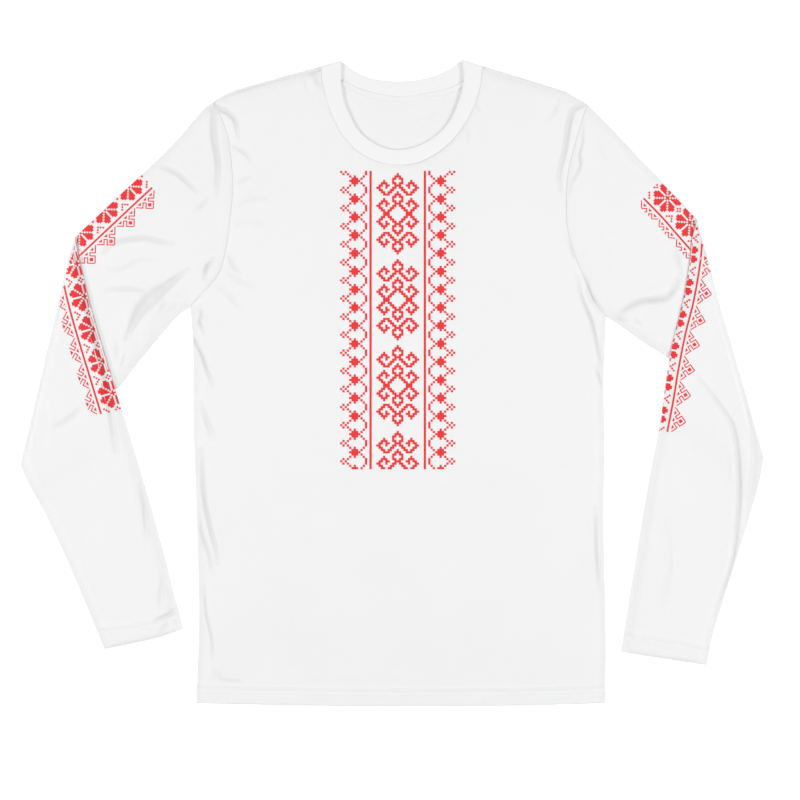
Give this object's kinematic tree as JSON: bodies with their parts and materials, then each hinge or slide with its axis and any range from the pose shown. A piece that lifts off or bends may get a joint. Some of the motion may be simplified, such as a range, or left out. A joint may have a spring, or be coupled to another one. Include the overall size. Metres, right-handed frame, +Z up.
{
  "type": "vyshyvanka-print long-sleeve shirt",
  "caption": "Long-sleeve crew-neck jersey shirt with a red folk-embroidery print on chest and sleeves, laid flat with the sleeves folded at the elbow.",
  "frame": {"origin": "middle of the laid shirt's outline, on the surface that it lies on", "axes": "+X to the wearer's left across the shirt, +Y from the hem towards the neck, +Z up from the surface, out of the shirt's front"},
  "size_m": [0.8175, 0.7111, 0.007],
  "materials": {
    "jersey": "matt knitted cotton jersey, white with red print",
    "rib": "matt white ribbed knit",
    "tape": "matt white jersey tape"
  },
  "bodies": {
    "root": {"front_panel": "jersey", "back_panel": "jersey", "left_sleeve_upper": "jersey", "left_sleeve_lower": "jersey", "right_sleeve_upper": "jersey", "right_sleeve_lower": "jersey", "neckband_front": "rib", "neckband_back": "rib", "back_neck_tape": "tape"}
  },
  "joints": []
}
